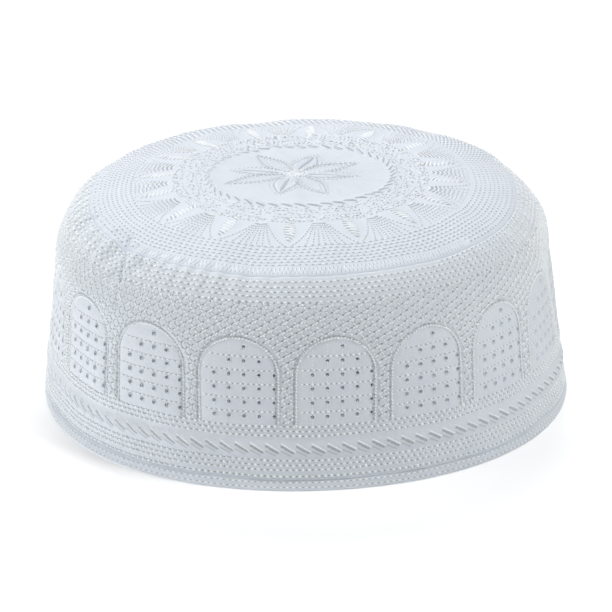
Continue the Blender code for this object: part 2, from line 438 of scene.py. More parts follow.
def thread_material(name, colour, roughness):
    """Embroidery thread: a touch glossier than the cloth, with faint uneven twist. The same flat look also carries
    the painted shade colours.
    """
    material = bpy.data.materials.new(name)
    material.use_nodes = True
    tree = material.node_tree
    shader = tree.nodes["Principled BSDF"]
    shader.inputs["Roughness"].default_value = roughness
    shader.inputs["Metallic"].default_value = 0.0
    shader.inputs["Sheen Weight"].default_value = 0.2
    place = tree.nodes.new("ShaderNodeTexCoord").outputs["Object"]
    fleck = tree.nodes.new("ShaderNodeTexNoise")
    fleck.inputs["Scale"].default_value = 1200.0
    tree.links.new(place, fleck.inputs["Vector"])
    tint = tree.nodes.new("ShaderNodeMix")
    tint.data_type = "RGBA"
    tint.inputs["A"].default_value = tuple(0.90 * channel for channel in colour) + (1,)
    tint.inputs["B"].default_value = tuple(min(1.0, 1.06 * channel) for channel in colour) + (1,)
    tree.links.new(fleck.outputs["Fac"], tint.inputs["Factor"])
    tree.links.new(tint.outputs["Result"], shader.inputs["Base Color"])
    return material


BAND_COTTON = (0.69, 0.735, 0.788)
CROWN_COTTON = (0.71, 0.755, 0.825)
HEM_LOOK = cloth_material("hem_cotton", BAND_COTTON, 10.0)
BAND_LOOK = cloth_material("band_cotton", BAND_COTTON, 12.0)
CROWN_LOOK = cloth_material("crown_cotton", CROWN_COTTON, 8.0)
# The thread's white, set well above the cotton's, is its own colour together with a painted highlight on the raised
# stitches.
THREAD_AND_HIGHLIGHT_LOOK = thread_material("white_thread_and_highlight", (0.91, 0.94, 0.98), 0.45)
# Painted shade: the next four flat dark colours go where needle holes, grooves and the shadows of raised stitches
# fall.
HOLE_SHADE_LOOK = thread_material("needle_shade", (0.34, 0.37, 0.41), 0.9)
DOT_SHADE_LOOK = thread_material("crown_needle_shade", (0.42, 0.465, 0.53), 0.9)
ROPE_SHADE = thread_material("rope_shade", (0.46, 0.49, 0.53), 0.9)
VEIN_SHADE_LOOK = thread_material("satin_vein_shade", (0.44, 0.50, 0.58), 0.45)


# Mesh builders

def add_piece(name, points, faces, material, stands_for=()):
    """A smooth-shaded mesh piece that rides on the cap."""
    mesh = bpy.data.meshes.new(name)
    corners = np.concatenate([group.ravel() for group in faces]).astype(np.int32)
    used, corners = np.unique(corners, return_inverse=True)
    points = points[used]
    sizes = np.concatenate([np.full(len(group), group.shape[1]) for group in faces])
    starts = np.concatenate([[0], np.cumsum(sizes)[:-1]]).astype(np.int32)
    mesh.vertices.add(len(points))
    mesh.vertices.foreach_set("co", points.astype(np.float32).ravel())
    mesh.loops.add(len(corners))
    mesh.loops.foreach_set("vertex_index", corners.ravel().astype(np.int32))
    mesh.polygons.add(len(sizes))
    mesh.polygons.foreach_set("loop_start", starts)
    mesh.update(calc_edges=True)
    mesh.validate()
    mesh.shade_smooth()
    mesh.materials.append(material)
    piece = bpy.data.objects.new(name, mesh)
    bpy.context.scene.collection.objects.link(piece)
    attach(piece, "root")
    for node in stands_for:
        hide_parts(node)
    return piece


def ring_quads(rows, columns):
    """Quads of a stack of closed rings, facing out where the rows climb."""
    row, column = np.mgrid[0:rows - 1, 0:columns]
    after = (column + 1) % columns
    return np.stack([row * columns + column, row * columns + after,
                     (row + 1) * columns + after, (row + 1) * columns + column], -1)


NEIGHBOURS = ((0, 1), (1, 1), (1, 0), (1, -1), (0, -1), (-1, -1), (-1, 0), (-1, 1))


def pierce(quads, rows_and_columns, columns, first_corner):
    """Open the four quads round each hole's node and join them to the hole's own eight corners."""
    keep = np.ones(quads.shape[:2], bool)
    collars = []
    for index, (row, column) in enumerate(rows_and_columns):
        for beside in (column - 1, column):
            keep[row - 1:row + 1, beside % columns] = False
        around_it = [(row + up) * columns + (column + side) % columns for up, side in NEIGHBOURS]
        corner = first_corner + 8 * index
        for place in range(8):
            after = (place + 1) % 8
            collars.append((around_it[place], around_it[after], corner + after, corner + place))
    return [quads[keep], np.array(collars)]


def hole_corners(arounds, runs, depth, radius):
    """Eight corners of each eyelet, one after another."""
    angle = np.arange(8) * math.pi / 4
    around = arounds[:, None] + radius * np.cos(angle)
    run = runs[:, None] + radius * np.sin(angle)
    return on_band(around, run, -depth).reshape(-1, 3)


def eyelet_nodes():
    """Row and column, on the band's fine mesh, of every eyelet."""
    nodes = []
    for arch in range(ARCHES):
        for row, columns in zip(EYELET_ROWS, EYELET_COLUMNS):
            for column in columns:
                nodes.append((row, (arch * STEPS_PER_ARCH + column * EYELET_STEPS) % COLUMNS))
    return np.array(nodes)


EYELETS = eyelet_nodes()
COLUMN_STEP = HEAD_ROUND / COLUMNS
FIRST_COLUMN = ARCH_MIDDLE + EYELET_SHIFT


def band_shell():
    """The band: its pierced outer face, its inner face and the edge tucked into the hem."""
    first_row = 6
    last_row = 93
    tuck = [(HEM_CLOTH + CLEARANCE, TUCK_DEPTH + TUCK_CLOTH), (HEM_CLOTH + CLEARANCE, TUCK_DEPTH)]
    tuck += [(HEM_TALL - 0.3 * MM, TUCK_DEPTH), (HEM_TALL - 0.3 * MM, 0.5 * MM), (HEM_TALL, 0.15 * MM)]
    rows = tuck + [(row * ROW_STEP, 0.0) for row in range(first_row, last_row + 1)]
    rows += [(BAND_TOP, 0.1 * MM), (BAND_TOP, CLOTH)]
    around = FIRST_COLUMN + COLUMN_STEP * np.arange(COLUMNS)
    run = np.array([row[0] for row in rows])[:, None]
    depth = np.array([row[1] for row in rows])[:, None]
    outer = on_band(around[None, :], run, -depth).reshape(-1, 3)
    outer_holes = [(row - first_row + len(tuck), column) for row, column in EYELETS]

    lining_columns = COLUMNS // LINING_SHARE
    lining_runs = [BAND_FOOT] + [LINING_SHARE * ROW_STEP * row for row in range(2, 32)] + [BAND_TOP]
    lining_depth = [TUCK_DEPTH + TUCK_CLOTH] + [CLOTH] * (len(lining_runs) - 1)
    inner = on_band(around[None, ::LINING_SHARE], np.array(lining_runs)[:, None],
                    -np.array(lining_depth)[:, None]).reshape(-1, 3)
    inner_holes = [(row // LINING_SHARE - 1, column // LINING_SHARE) for row, column in EYELETS]

    hole_around = FIRST_COLUMN + COLUMN_STEP * EYELETS[:, 1]
    hole_run = ROW_STEP * EYELETS[:, 0]
    lips = hole_corners(hole_around, hole_run, 0.0, EYELET_RADIUS)
    necks = hole_corners(hole_around, hole_run, 0.45 * MM, EYELET_NECK)
    backs = hole_corners(hole_around, hole_run, CLOTH, EYELET_NECK)
    points = np.concatenate([outer, inner, lips, necks, backs])
    lip_corner = len(outer) + len(inner)
    neck_corner = lip_corner + len(lips)
    back_corner = neck_corner + len(necks)

    faces = pierce(ring_quads(len(rows), COLUMNS), outer_holes, COLUMNS, lip_corner)
    inner_faces = pierce(ring_quads(len(lining_runs), lining_columns), inner_holes, lining_columns,
                         back_corner - len(outer))
    faces += [group[:, ::-1] + len(outer) for group in inner_faces]
    hole, side = np.mgrid[0:len(EYELETS), 0:8]
    here = 8 * hole + side
    after = 8 * hole + (side + 1) % 8
    for front, back in ((lip_corner, neck_corner), (neck_corner, back_corner)):
        walls = np.stack([front + here, front + after, back + after, back + here], -1)
        faces.append(walls.reshape(-1, 4))
    return add_piece("band_shell", points, faces, BAND_LOOK, ["side_band"])


def hem_shell():
    """The turned hem, a rolled channel round the rim."""
    outside = np.linspace(0, HEM_TALL, 9)
    around = FIRST_COLUMN + COLUMN_STEP * np.arange(COLUMNS)
    outer = on_hem(around[None, :], outside[:, None])
    section = [(HEM_TALL, HEM_CLOTH), (HEM_CLOTH, HEM_CLOTH), (HEM_CLOTH, HEM_SLOT), (HEM_TALL, HEM_SLOT),
               (HEM_TALL, HEM_DEPTH), (EDGE_ROUND, HEM_DEPTH), (0.0, HEM_DEPTH - EDGE_ROUND)]
    run = np.array([place[0] for place in section])[:, None]
    depth = np.array([place[1] for place in section])[:, None]
    inner = plain_cloth(turn_at(around)[None, :], run, depth) - MIDDLE
    points = np.concatenate([outer, inner, outer[:1]]).reshape(-1, 3)
    quads = ring_quads(len(outside) + len(section) + 1, COLUMNS).reshape(-1, 4)
    return add_piece("hem_shell", points, [quads], HEM_LOOK, ["rim_hem"])


def crown_shell():
    """The crown: its seam allowance under the band, the end of the shoulder and the dome."""
    columns = 480
    turns = math.tau * np.arange(columns) / columns
    edge_radius = float(radius_at(np.array(CROWN_EDGE)))
    outer_radii = np.linspace(edge_radius, 0.8 * MM, 92)
    inner_radii = np.linspace(0.8 * MM, edge_radius, 16)
    section = [(CROWN_EDGE - SEAM_LAP, CLOTH + CLEARANCE), (SEAM_RUN - MM, CLOTH), (BAND_TOP - 0.2 * MM, 0.5 * MM),
               (BAND_TOP + 0.1 * MM, 0.12 * MM)]
    section += [(float(run_at(radius)), 0.0) for radius in outer_radii]
    outer_rows = len(section)
    section += [(float(run_at(radius)), CLOTH) for radius in inner_radii]
    section += [(CROWN_EDGE, CLOTH + CLEARANCE + 1.0 * MM), (CROWN_EDGE - SEAM_LAP, CLOTH + CLEARANCE + 1.0 * MM)]
    section += [section[0]]
    run = np.array([place[0] for place in section])[:, None]
    depth = np.array([place[1] for place in section])[:, None]
    points = cloth(turns[None, :], run, -depth).reshape(-1, 3)
    quads = ring_quads(len(section), columns)
    quads = np.delete(quads, outer_rows - 1, axis=0).reshape(-1, 4)
    here = np.arange(columns)
    after = (here + 1) % columns
    peaks = np.array([cloth(0.0, CROWN_END, 0.0), cloth(0.0, CROWN_END, -CLOTH)])
    first_peak = len(points)
    top = (outer_rows - 1) * columns
    under = outer_rows * columns
    caps = [np.stack([top + here, top + after, np.full(columns, first_peak)], -1),
            np.stack([under + after, under + here, np.full(columns, first_peak + 1)], -1)]
    points = np.concatenate([points, peaks])
    return add_piece("crown_shell", points, [quads] + caps, CROWN_LOOK, ["crown_top"])


# Stitches: each has two ends on the cloth and a direction out of it

Stitches = namedtuple("Stitches", "starts ends outs")


def unit(vectors):
    """The same directions with length 1."""
    return vectors / np.maximum(np.linalg.norm(vectors, axis=-1, keepdims=True), 1e-12)


def sew(place, first, second, pitch, share=0.62, shift=0.0, whole=False):
    """Evenly spaced stitches along a line on the cloth; whole where the line closes on itself."""
    line = place(first, second)
    out = place(first, second, MM) - line
    lengths = np.concatenate([[0], np.cumsum(np.linalg.norm(np.diff(line, axis=0), axis=1))])
    count = max(int(round(lengths[-1] / pitch)), 1)
    step = lengths[-1] / count
    middles = (np.arange(count) + 0.5 + shift) * step
    places = [middles - share * step / 2, middles + share * step / 2, middles]
    if whole:
        places = [np.mod(place_, lengths[-1]) for place_ in places]
    starts, ends, outs = [
        np.stack([np.interp(at, lengths, values[:, axis]) for axis in range(3)], -1)
        for at, values in zip(places, (line, line, out))]
    return Stitches(starts, ends, unit(outs))


def joined(groups):
    """Many groups of stitches as one."""
    return Stitches(*[np.concatenate(column) for column in zip(*groups)])


def straight(place, starts, ends):
    """One stitch from each start to its end, both given on the cloth's own plan."""
    middle = (starts + ends) / 2
    outs = place(middle[:, 0], middle[:, 1], MM) - place(middle[:, 0], middle[:, 1])
    return Stitches(place(starts[:, 0], starts[:, 1]), place(ends[:, 0], ends[:, 1]), unit(outs))


def thread_piece(name, stitches, width, height, material=THREAD_AND_HIGHLIGHT_LOOK):
    """Raised stitches whose ends dive into the cloth, joined as one mesh."""
    starts, ends, outs = stitches
    side = unit(np.cross(outs, ends - starts)) * width / 2
    count = len(starts)
    jitter = 1 + 0.12 * rng.standard_normal(count)[:, None, None]
    arc = np.radians([180, 135, 90, 45, 0])
    section = (side[:, None, :] * np.cos(arc)[None, :, None]
               + outs[:, None, :] * (height * np.sin(arc) - 0.15 * height)[None, :, None]) * jitter
    near = (starts + 0.22 * (ends - starts))[:, None, :] + section
    far = (starts + 0.78 * (ends - starts))[:, None, :] + section
    sunk = outs * height * 0.25
    points = np.concatenate([(starts - sunk)[:, None, :], near, far, (ends - sunk)[:, None, :]], axis=1)
    base = 12 * np.arange(count)[:, None, None]
    pair = np.arange(4)[None, :, None]
    front = base + np.concatenate([0 * pair, 2 + pair, 1 + pair], axis=2)
    back = base + np.concatenate([0 * pair + 11, 6 + pair, 7 + pair], axis=2)
    middle = base + np.concatenate([1 + pair, 2 + pair, 7 + pair, 6 + pair], axis=2)
    faces = [front.reshape(-1, 3), middle.reshape(-1, 4), back.reshape(-1, 3)]
    return add_piece(name, points.reshape(-1, 3), faces, material)


def shade_piece(name, stitches, width, lift=0.06 * MM, material=HOLE_SHADE_LOOK):
    """Painted shade for needle holes, sunken lines and shadows: thin dark lenses on the cloth, joined as one mesh.
    """
    starts, ends, outs = stitches
    middle = (starts + ends) / 2 + outs * lift
    half = (ends - starts) / 2
    side = unit(np.cross(outs, ends - starts)) * width / 2
    angle = np.arange(8) * math.pi / 4
    rim = (middle[:, None, :] + half[:, None, :] * np.cos(angle)[None, :, None]
           + side[:, None, :] * np.sin(angle)[None, :, None])
    points = np.concatenate([middle[:, None, :], rim], axis=1).reshape(-1, 3)
    base = 9 * np.arange(len(middle))[:, None]
    here = np.arange(8)[None, :]
    after = (here + 1) % 8
    fans = np.stack([base + 0 * here, base + 1 + here, base + 1 + after], -1)
    return add_piece(name, points, [fans.reshape(-1, 3)], material)


def tube(points, outs, wide, tall, sides=6, closed=False):
    """Points and quads of a soft cord along a line; wide and tall may vary along it."""
    ahead = np.roll(points, -1, axis=0) - np.roll(points, 1, axis=0)
    if not closed:
        ahead[0] = points[1] - points[0]
        ahead[-1] = points[-1] - points[-2]
    side = unit(np.cross(outs, ahead))
    angle = math.tau * np.arange(sides) / sides
    wide, tall = [np.broadcast_to(size, len(points))[:, None, None] for size in (wide, tall)]
    rings = (points[:, None, :] + side[:, None, :] * wide * np.cos(angle)[None, :, None]
             + outs[:, None, :] * tall * np.sin(angle)[None, :, None])
    count = len(points)
    station, corner = np.mgrid[0:count if closed else count - 1, 0:sides]
    next_station = (station + 1) % count
    after = (corner + 1) % sides
    quads = np.stack([station * sides + corner, station * sides + after,
                      next_station * sides + after, next_station * sides + corner], -1)
    return rings.reshape(-1, 3), quads.reshape(-1, 4)


def cord_piece(name, cords, material=THREAD_AND_HIGHLIGHT_LOOK):
    """Several cords joined as one mesh."""
    points = []
    faces = []
    total = 0
    for cord_points, quads in cords:
        points.append(cord_points)
        faces.append(quads + total)
        total += len(cord_points)
    return add_piece(name, np.concatenate(points), faces, material)


# Embroidery of the band and the hem

RowOf = namedtuple("RowOf", "run pitch shift")
RING = np.linspace(0, HEAD_ROUND, 1441)
HEM_ROWS = (RowOf(1.6, 2.1, 0.0), RowOf(3.3, 2.1, 0.5))
BAND_ROWS = (
    RowOf(5.5, 2.1, 0.0),
    RowOf(7.8, 2.1, 0.5),
    RowOf(9.5, 2.1, 0.0),
    RowOf(11.2, 2.1, 0.5),
    RowOf(19.9, 2.08, 0.0),
    RowOf(21.6, 2.08, 0.5),
    RowOf(23.25, 2.08, 0.0),
    RowOf(65.75, 2.3, 0.0),
    RowOf(67.75, 2.3, 0.5),
    RowOf(69.4, 2.3, 0.0),
    RowOf(71.1, 2.3, 0.5),
    RowOf(73.1, 2.3, 0.0),
)


def sewn_rows(place, rows, share, extra_shift=0.0):
    """Running stitches all the way round, one row for each line of a table."""
    return joined([sew(place, RING, np.full(len(RING), row.run * MM), row.pitch * MM, share,
                       row.shift + extra_shift, whole=True) for row in rows])


def arch_line(arch, grow=0.0):
    """Places along one arch's outline, from its left foot over the top to its right foot."""
    middle = ARCH_MIDDLE + arch * ARCH_PITCH
    half = ARCH_HALF + grow
    rise = ARCH_TOP + grow - ARCH_SPRING
    sides = np.linspace(ARCH_FOOT, ARCH_SPRING, 45)
    bow = np.linspace(math.pi, 0, 101)[1:-1]
    around = np.concatenate([np.full(45, middle - half), middle + half * np.cos(bow), np.full(45, middle + half)])
    run = np.concatenate([sides, ARCH_SPRING + rise * np.sin(bow), sides[::-1]])
    return around, run


def arch_satin():
    """The raised satin line along every arch: short slanted stitches laid close together."""
    groups = []
    for arch in range(ARCHES):
        starts, ends, outs = sew(on_band, *arch_line(arch), 1.1 * MM, 1.1)
        side = np.cross(outs, unit(ends - starts)) * 0.26 * MM
        groups.append(Stitches(starts - side, ends + side, outs))
    return joined(groups)


def arch_shadows():
    """The dotted needle line just above and to the left of each satin line, coloured dark as the satin's painted
    shadow.
    """
    groups = []
    for arch in range(ARCHES):
        around, run = arch_line(arch)
        groups.append(sew(on_band, around - 0.8 * MM, run + 0.7 * MM, 1.7 * MM, 0.85))
    return joined(groups)


def seam_row(share, shift=0.0):
    """The row just under the seam, which leaves a smooth strip in front."""
    around = np.linspace(SMOOTH_FRONT, HEAD_ROUND - SMOOTH_FRONT, 1200)
    return sew(on_band, around, np.full(1200, 74.6 * MM), 2.3 * MM, share, shift)


def eyelet_rings():
    """The thread ring round every eyelet."""
    cords = []
    angle = math.tau * np.arange(12) / 12
    for row, column in EYELETS:
        around = FIRST_COLUMN + COLUMN_STEP * column + 0.8 * MM * np.cos(angle)
        run = ROW_STEP * row + 0.8 * MM * np.sin(angle)
        line = on_band(around, run, 0.02 * MM)
        outs = unit(on_band(around, run, MM) - on_band(around, run))
        cords.append(tube(line, outs, 0.24 * MM, 0.16 * MM, sides=4, closed=True))
    return cord_piece("eyelet_rings", cords, BAND_LOOK)


def hem_edge_cord():
    """The fine corded edge where the hem ends on the band."""
    around = np.linspace(0, HEAD_ROUND, 1201)[:-1]
    line = on_band(around, HEM_TALL + 0.2 * MM, 0.02 * MM)
    outs = unit(on_band(around, HEM_TALL, MM) - on_band(around, HEM_TALL))
    return tube(line, outs, 0.24 * MM, 0.22 * MM, closed=True)


def arch_quilting(share, shift=0.0):
    """The dotted lines inside every arch: across between the eyelets, and up through them."""
    groups = []
    for arch in range(ARCHES):
        middle = ARCH_MIDDLE + arch * ARCH_PITCH
        for row in EYELET_ROWS[:-1]:
            run = row * ROW_STEP + 1.6 * MM
            half = ARCH_HALF * math.sqrt(1 - (max(run - ARCH_SPRING, 0) / (ARCH_TOP - ARCH_SPRING)) ** 2) - 0.9 * MM
            around = np.linspace(middle - half, middle + half, 30)
            groups.append(sew(on_band, around, np.full(30, run), 1.8 * MM, share, shift))
    return joined(groups)


def arch_uprights():
    """Thin upright lines of small stitches through the columns of eyelets."""
    groups = []
    for arch in range(ARCHES):
        middle = ARCH_MIDDLE + arch * ARCH_PITCH
        for column in (-2, -1, 0, 1):
            aside = EYELET_SHIFT + column * EYELET_STEPS * COLUMN_STEP
            top = ARCH_SPRING + (ARCH_TOP - ARCH_SPRING) * math.sqrt(1 - (aside / ARCH_HALF) ** 2) - 1.0 * MM
            run = np.linspace(ARCH_FOOT + 0.8 * MM, top, 40)
            groups.append(sew(on_band, np.full(40, middle + aside), run, 1.2 * MM, 0.55))
    return joined(groups)


# The lattice was stitched flat: so many squares along and across for each arch, a little flatter
# than true squares. It turns slowly from one side of the cap to the other, as the band was eased in.
LATTICE_ALONG = 10
LATTICE_ACROSS = 6
LATTICE_SQUASH = 1.12
LATTICE_SWERVE = 2.4          # radians for each metre round the rim, at the front
LATTICE_MIDDLE = 60.0 * MM
SWING = HEAD_ROUND / math.tau


def lattice_places(counts):
    """Where on the band the corners with these counts along and across lie."""
    along = LATTICE_ALONG / ARCH_PITCH
    across = LATTICE_ACROSS / ARCH_PITCH
    grows = np.array([[along, LATTICE_SQUASH * across], [-across, LATTICE_SQUASH * along]])
    turned = LATTICE_SWERVE * np.stack([grows[:, 1], -grows[:, 0]], -1)
    places = counts @ np.linalg.inv(grows).T
    for _ in range(9):
        around, up = places[:, :1], places[:, 1:]
        phase = around / SWING
        swing = SWING * np.sin(phase)
        summed = SWING ** 2 * (1 - np.cos(phase))
        upward = grows[:, 1] + turned[:, 1] * swing
        sideways = grows[:, 0] + turned[:, 0] * swing + turned[:, 1] * np.cos(phase) * up
        missing = counts - grows[:, 0] * around - turned[:, 0] * summed - upward * up
        places = places + np.linalg.solve(np.stack([sideways, upward], -1), missing[..., None])[..., 0]
    return places + [0, LATTICE_MIDDLE]


def lattice_nodes():
    """The four corners of each small square, once round the cap."""
    counts = np.stack(np.mgrid[-30:200, -130:40], -1).reshape(-1, 2).astype(float)
    corners = [lattice_places(counts + step) for step in ([0, 0], [1, 0], [0, 1], [1, 1])]
    first = corners[0]
    keep = (first[:, 0] >= 0) & (first[:, 0] < HEAD_ROUND)
    keep &= (first[:, 1] > LATTICE_FOOT - 4 * MM) & (first[:, 1] < LATTICE_TOP + 4 * MM)
    return [corner[keep] for corner in corners]


LATTICE = lattice_nodes()


def in_lattice(places):
    """Which places lie in the lattice: over the rows at the arches' feet and clear of the arches."""
    clear = arch_share(places[..., 0], places[..., 1], 0.8 * MM) > 1
    return clear & (places[..., 1] > LATTICE_FOOT) & (places[..., 1] < LATTICE_TOP)


def lattice_edges(first, second, parts, shift=(0.0, 0.0)):
    """Stitches along one kind of edge of the small squares, each from one share of it to another."""
    step = second - first
    groups = []
    for start, end in parts:
        starts = first + start * step + shift
        ends = first + end * step + shift
        keep = in_lattice(starts) & in_lattice(ends)
        groups.append(straight(on_band, starts[keep], ends[keep]))
    return joined(groups)


def lattice_puffs():
    """The padded square of cloth inside each mesh of the lattice."""
    share = np.linspace(0.05, 0.95, 4)
    rise, climb = [part.ravel()[:, None] for part in np.meshgrid(share, share, indexing="ij")]
    first, along, across, far = [corner[:, None, :] for corner in LATTICE]
    places = (1 - rise) * ((1 - climb) * first + climb * across) + rise * ((1 - climb) * along + climb * far)
    places = places[in_lattice(places).sum(axis=1) > 5]
    swell = (np.sin(math.pi * rise) * np.sin(math.pi * climb))[:, 0] ** 0.8
    lift = np.where(in_lattice(places), -0.05 + 0.5 * swell, -0.4)
    points = on_band(places[..., 0], places[..., 1], lift * MM).reshape(-1, 3)
    row, column = [part.ravel() for part in np.mgrid[0:3, 0:3]]
    patch = np.stack([4 * row + column, 4 * row + column + 4, 4 * row + column + 5, 4 * row + column + 1], -1)
    quads = (16 * np.arange(len(places))[:, None, None] + patch).reshape(-1, 4)
    return add_piece("lattice_puffs", points, [quads], BAND_LOOK)


def in_parts(place, middles, way, parts):
    """Straight bars round their middles, cut into short parts that follow the cloth."""
    ends = np.linspace(-0.5, 0.5, parts + 1)[:, None, None]
    overlap = 0.25 * (parts > 1) * way / parts
    starts = (middles + ends[:-1] * way - overlap).reshape(-1, 2)
    stops = (middles + ends[1:] * way + overlap).reshape(-1, 2)
    return straight(place, starts, stops)


def rope_bars(rise, aside, length, parts=1):
    """One slanted bar for each strand of the rope border, shifted from its middle line."""
    strands = round(HEAD_ROUND / ROPE_PITCH)
    way = length * np.array([math.cos(ROPE_SLANT), math.sin(ROPE_SLANT)])
    middles = np.stack([ROPE_PITCH * np.arange(strands) + aside, np.full(strands, ROPE_RUN + rise)], -1)
    return in_parts(on_band, middles, way, parts)


def band_embroidery():
    """Every stitch and cord of the hem and the band, with painted shade for their needle holes and the shadows
    beside the raised work.
    """
    thread_piece("hem_stitches", sewn_rows(on_hem, HEM_ROWS, 0.46), 0.55 * MM, 0.26 * MM)
    # The needle holes here are dark lenses of painted shade.
    shade_piece("hem_needle_hole_shade", sewn_rows(on_hem, HEM_ROWS, 0.24, 0.5), 0.36 * MM)
    thread_piece("band_row_stitches", sewn_rows(on_band, BAND_ROWS, 0.46), 0.95 * MM, 0.52 * MM)
    shade_piece("band_needle_hole_shade", sewn_rows(on_band, BAND_ROWS, 0.3, 0.5), 0.5 * MM)
    thread_piece("seam_row_stitches", seam_row(0.46), 0.8 * MM, 0.4 * MM)
    shade_piece("seam_row_hole_shade", seam_row(0.3, 0.5), 0.5 * MM)
    cord_piece("hem_edge_cord", [hem_edge_cord()], HEM_LOOK)
    thread_piece("arch_cords", arch_satin(), 0.75 * MM, 0.8 * MM)
    shade_piece("arch_shadows", arch_shadows(), 0.5 * MM, lift=0.2 * MM, material=ROPE_SHADE)
    eyelet_rings()
    thread_piece("arch_stitches", arch_quilting(0.5), 0.6 * MM, 0.34 * MM)
    shade_piece("arch_needle_hole_shade", arch_quilting(0.3, 0.5), 0.42 * MM)
    thread_piece("arch_uprights", arch_uprights(), 0.2 * MM, 0.1 * MM)
    first, along, across, _ = LATTICE
    halves = ((0.06, 0.47), (0.53, 0.94))
    thread_piece("lattice_steep_stitches", lattice_edges(first, across, halves), 0.62 * MM, 0.78 * MM)
    thread_piece("lattice_rising_stitches", lattice_edges(first, along, halves, (0.1 * MM, -0.4 * MM)),
                 0.55 * MM, 0.72 * MM)
    # Painted shade: dark dashes where needle holes and the shadows between the puffs fall along the squares' edges.
    shade_piece("lattice_rising_shade", lattice_edges(first, along, ((0.3, 0.64),)), 0.44 * MM,
                lift=0.16 * MM)
    shade_piece("lattice_steep_shade", lattice_edges(first, across, ((0.28, 0.68),), (0.5 * MM, 0.0)), 0.32 * MM,
                lift=0.16 * MM, material=ROPE_SHADE)
    lattice_puffs()
    shade_piece("rope_lines", rope_bars(-0.3 * MM, -0.1 * MM, 0.9 * ROPE_BAR, 4), 0.85 * MM,
                lift=0.12 * MM, material=ROPE_SHADE)
    thread_piece("rope_bars", rope_bars(0.45 * MM, 0.2 * MM, ROPE_BAR, 2), 0.6 * MM, 0.36 * MM)
    shade_piece("rope_under_lines", rope_bars(-1.6 * MM, -0.5 * MM, 0.7 * ROPE_BAR, 3), 0.26 * MM,
                lift=0.1 * MM, material=ROPE_SHADE)


# Embroidery of the crown

CROWN_ROWS = (
    RowOf(62.3, 2.2, 0.5),
    RowOf(64.0, 2.2, 0.0),
    RowOf(65.6, 2.2, 0.5),
    RowOf(67.4, 2.2, 0.0),
    RowOf(69.0, 2.2, 0.5),
    RowOf(70.6, 2.2, 0.0),
    RowOf(72.1, 2.2, 0.5),
)
SIDE_ROWS = (
    RowOf(73.7, 2.2, 0.0),
    RowOf(75.4, 2.2, 0.5),
)
SMOOTH_TURN = 46              # degrees to each side of the front that the smooth strip reaches
TICKS = 352
LEAF_MARKS = 9


def ring_line(radius, start=0.0, end=360.0, middle=CROWN_MIDDLE):
    """Places along a circle, or a part of one, on the crown."""
    turn = np.radians(np.linspace(start, end, max(int(abs(end - start)), 12)))
    return middle[0] + radius * np.cos(turn), middle[1] + radius * np.sin(turn)


def crown_sew(across, along, pitch, share=0.6, shift=0.0, whole=False):
    """Stitches along a line on the crown."""
    return sew(on_crown, across, along, pitch, share, shift, whole)


def petal_line(toward, length, half, base=3.0 * MM, middle=FLOWER_MIDDLE):
    """Outline of a pointed petal, from its base round the tip and back."""
    share = np.linspace(0, 1, 25)
    out = base + (length - base) * share
    wide = half * np.sin(math.pi * share ** 0.8)
    out = np.concatenate([out, out[::-1]])
    wide = np.concatenate([wide, -wide[::-1]])
    turn = math.radians(toward)
    across = middle[0] + out * math.cos(turn) - wide * math.sin(turn)
    along = middle[1] + out * math.sin(turn) + wide * math.cos(turn)
    return across, along


def flower_lines(share, shift):
    """The running stitches of the flower in the middle of the crown."""
    groups = []
    for toward in PETAL_TOWARD:
        groups.append(crown_sew(*petal_line(toward, 24.5 * MM, 5.4 * MM), 1.5 * MM, share, shift))
    for toward in LOBE_TOWARD:
        groups.append(crown_sew(*petal_line(toward, 27 * MM, 5.0 * MM), 1.7 * MM, share, shift))
        groups.append(crown_sew(*petal_line(toward, 23 * MM, 2.6 * MM), 1.5 * MM, share, shift))
    return joined(groups)


def petal_cords():
    """Fine corded outlines nested round each petal's vein."""
    cords = []
    for toward in PETAL_TOWARD:
        across, along = petal_line(toward, 22.0 * MM, 2.8 * MM)
        line = on_crown(across, along, 0.02 * MM)
        outs = unit(on_crown(across, along, MM) - on_crown(across, along))
        cords.append(tube(line, outs, 0.22 * MM, 0.2 * MM, sides=5))
    return cord_piece("petal_cords", cords)


def petal_shade_lines():
    """Painted shade along the sunken lines between the nested outlines of each petal."""
    groups = []
    for toward in PETAL_TOWARD:
        groups.append(crown_sew(*petal_line(toward, 22.8 * MM, 3.9 * MM), 2.0 * MM, 0.98))
    for toward in LOBE_TOWARD:
        groups.append(crown_sew(*petal_line(toward, 26 * MM, 3.8 * MM), 2.0 * MM, 0.95))
    return joined(groups)


def petal_veins():
    """The satin leaf down the middle of each petal, coloured dark blue-grey as painted shade for the gap between its
    two satin halves.
    """
    cords = []
    for toward in PETAL_TOWARD:
        turn = math.radians(toward)
        share = np.linspace(0, 1, 17)
        out = (5.5 + 15.5 * share) * MM
        across = FLOWER_MIDDLE[0] + out * math.cos(turn)
        along = FLOWER_MIDDLE[1] + out * math.sin(turn)
        line = on_crown(across, along, 0.05 * MM)
        outs = unit(on_crown(across, along, MM) - on_crown(across, along))
        cords.append(tube(line, outs, (0.06 + 0.7 * np.sin(math.pi * share)) * MM, 0.14 * MM))
    return cord_piece("petal_veins", cords, VEIN_SHADE_LOOK)


def radial_marks(turn, inner, outer, middle, lean=0.0):
    """Short straight marks that point out from a middle."""
    starts = np.stack([middle[0] + inner * np.cos(turn), middle[1] + inner * np.sin(turn)], -1)
    ends = np.stack([middle[0] + outer * np.cos(turn + lean), middle[1] + outer * np.sin(turn + lean)], -1)
    return straight(on_crown, starts, ends)


